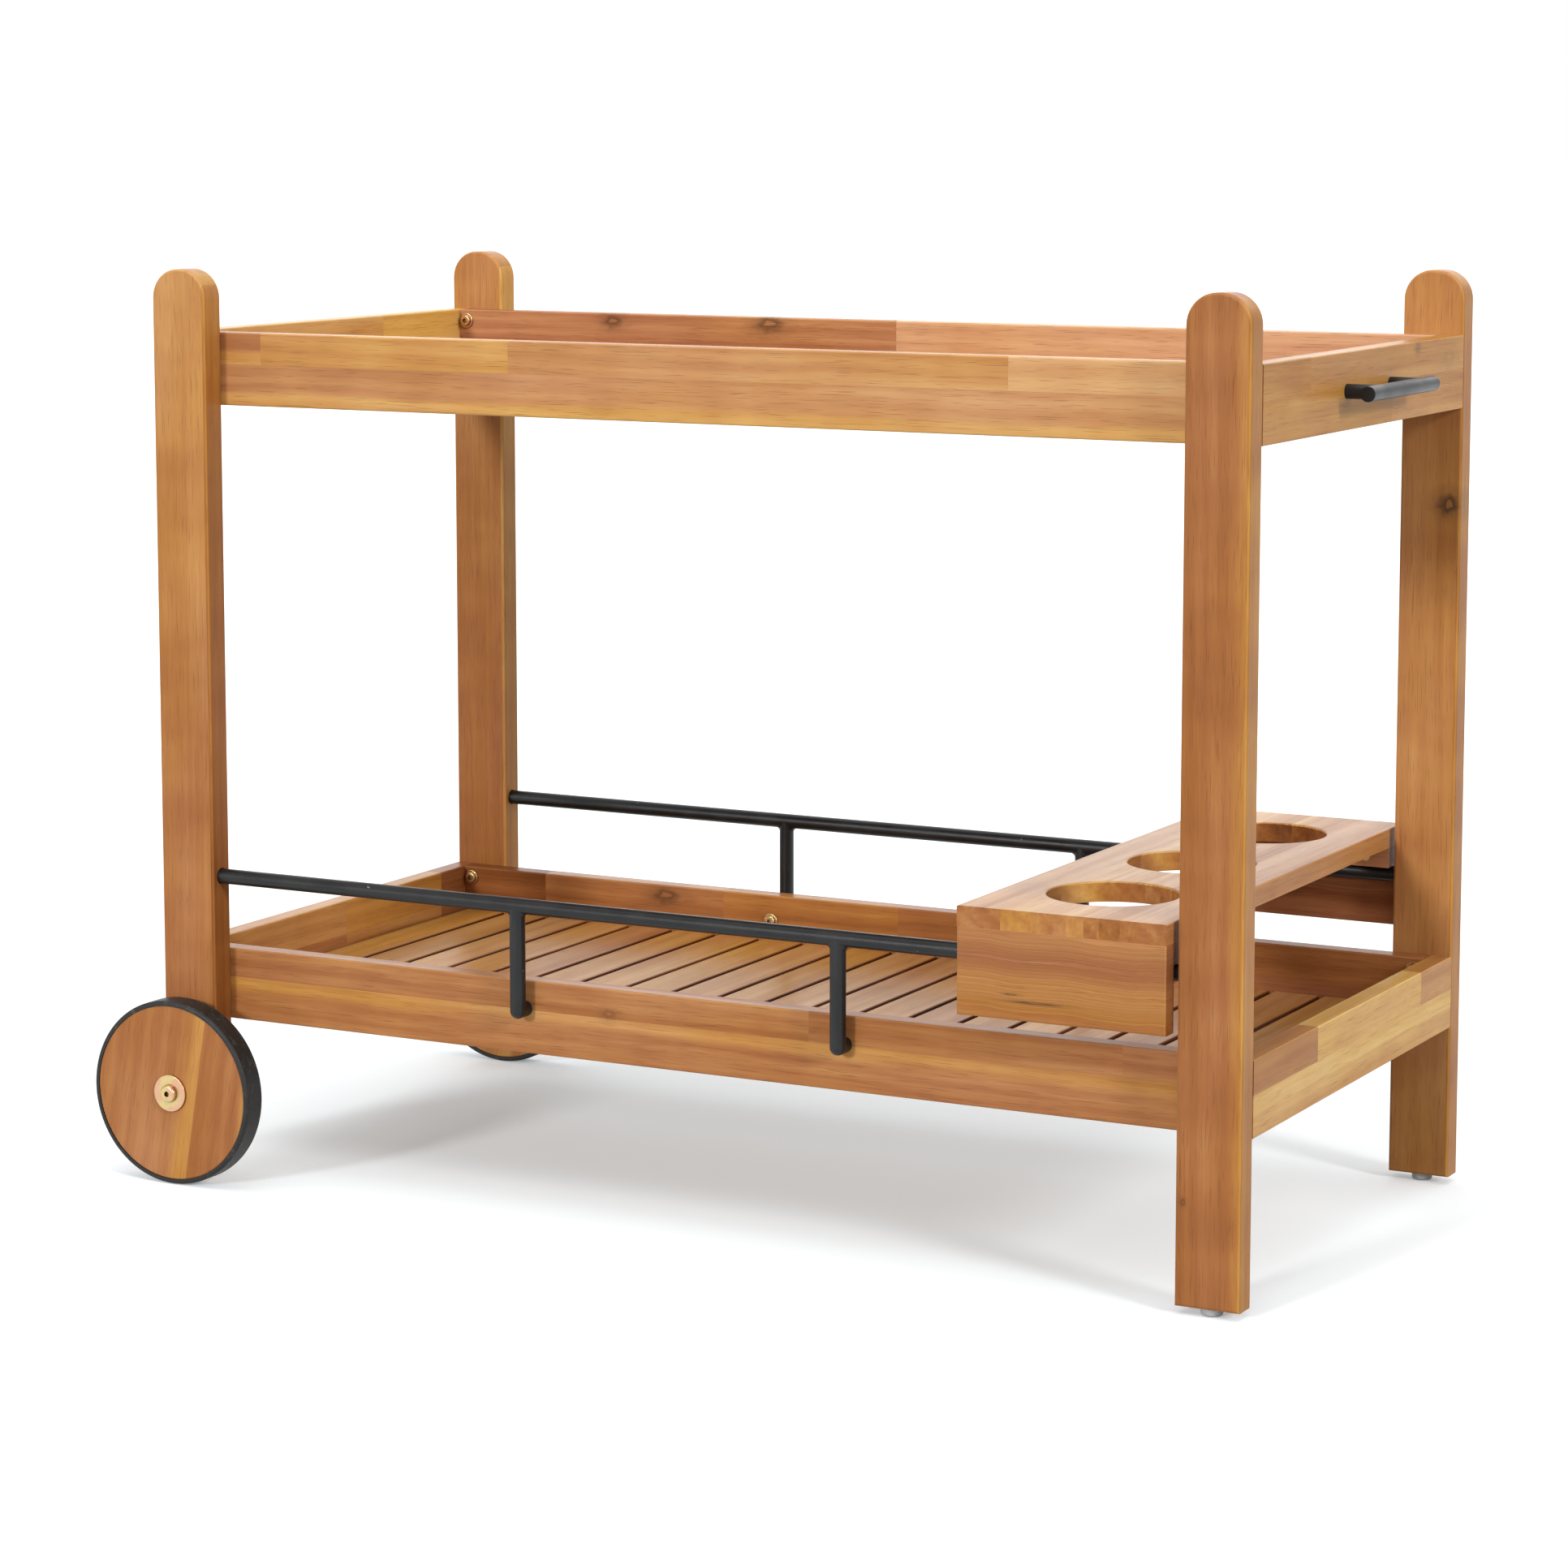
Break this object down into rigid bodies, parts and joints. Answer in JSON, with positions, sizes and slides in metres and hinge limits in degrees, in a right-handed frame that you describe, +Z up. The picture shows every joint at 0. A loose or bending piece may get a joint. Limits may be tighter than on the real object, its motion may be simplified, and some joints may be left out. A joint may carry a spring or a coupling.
{
  "type": "outdoor serving cart",
  "caption": "Wooden outdoor serving cart: slatted upper and lower trays between plank posts, wheels at one end, pull handle at the other, tube guard rails and a sliding bottle rack.",
  "frame": {"origin": "on the floor under the middle of the whole cart", "axes": "+X along the cart from the wheels to the handle, -Y the front seen in the picture, +Z up"},
  "size_m": [1.0514, 0.5582, 0.76],
  "materials": {
    "acacia": "oiled, satin, edge-glued staves",
    "dowel_wood": "plain turned dowel",
    "charcoal_coat": "charcoal powder coat, satin",
    "yellow_zinc": "yellow zinc plate, glossy",
    "tyre_rubber": "black rubber, satin",
    "grey_plastic": "grey moulded plastic",
    "nylon": "natural nylon"
  },
  "bodies": {
    "cart_frame": {"axle_bolts": "yellow_zinc", "axle_nuts": "yellow_zinc", "axle_washers": "yellow_zinc", "corner_dowels": "dowel_wood", "corner_inserts": "yellow_zinc", "end_dowels": "dowel_wood", "foot_glide_back": "grey_plastic", "foot_glide_front": "grey_plastic", "guard_bar_back": "charcoal_coat", "guard_bar_front": "charcoal_coat", "guard_leg_back_left": "charcoal_coat", "guard_leg_back_right": "charcoal_coat", "guard_leg_bolts": "yellow_zinc", "guard_leg_front_left": "charcoal_coat", "guard_leg_front_right": "charcoal_coat", "guard_leg_washers": "yellow_zinc", "handle_bar": "charcoal_coat", "handle_post_back": "charcoal_coat", "handle_post_front": "charcoal_coat", "handle_screws": "yellow_zinc", "lower_batten": "acacia", "lower_corner_bolts": "yellow_zinc", "lower_corner_washers": "yellow_zinc", "lower_end_left": "acacia", "lower_end_right": "acacia", "lower_ledger_back": "acacia", "lower_ledger_front": "acacia", "lower_rail_back": "acacia", "lower_rail_front": "acacia", "lower_slats": "acacia", "nut_washers": "yellow_zinc", "post_back_left": "acacia", "post_back_right": "acacia", "post_front_left": "acacia", "post_front_right": "acacia", "upper_batten": "acacia", "upper_corner_bolts": "yellow_zinc", "upper_corner_washers": "yellow_zinc", "upper_end_left": "acacia", "upper_end_right": "acacia", "upper_ledger_back": "acacia", "upper_ledger_front": "acacia", "upper_rail_back": "acacia", "upper_rail_front": "acacia", "upper_slats": "acacia", "wheel_spacers": "yellow_zinc"},
    "wheel_front": {"wheel_disc_front": "acacia", "tyre_front": "tyre_rubber", "wheel_bush_front": "nylon"},
    "wheel_back": {"wheel_disc_back": "acacia", "tyre_back": "tyre_rubber", "wheel_bush_back": "nylon"},
    "bottle_rack": {"rack_board": "acacia", "rack_cleat_back": "acacia", "rack_cleat_front": "acacia", "rack_dowels": "dowel_wood", "rack_panel_back": "acacia", "rack_panel_front": "acacia", "rack_screws": "yellow_zinc"}
  },
  "joints": [
    {"name": "wheel_front_spin", "type": "hinge", "parent": "cart_frame", "child": "wheel_front", "pos_m": [-0.44825, -0.2623, 0.0775], "axis": [0, 1, 0], "continuous": true},
    {"name": "wheel_back_spin", "type": "hinge", "parent": "cart_frame", "child": "wheel_back", "pos_m": [-0.44825, 0.2623, 0.0775], "axis": [0, 1, 0], "continuous": true},
    {"name": "rack_slide", "type": "slide", "parent": "cart_frame", "child": "bottle_rack", "axis": [1, 0, 0], "range_m": [-0.688, 0.004]}
  ]
}
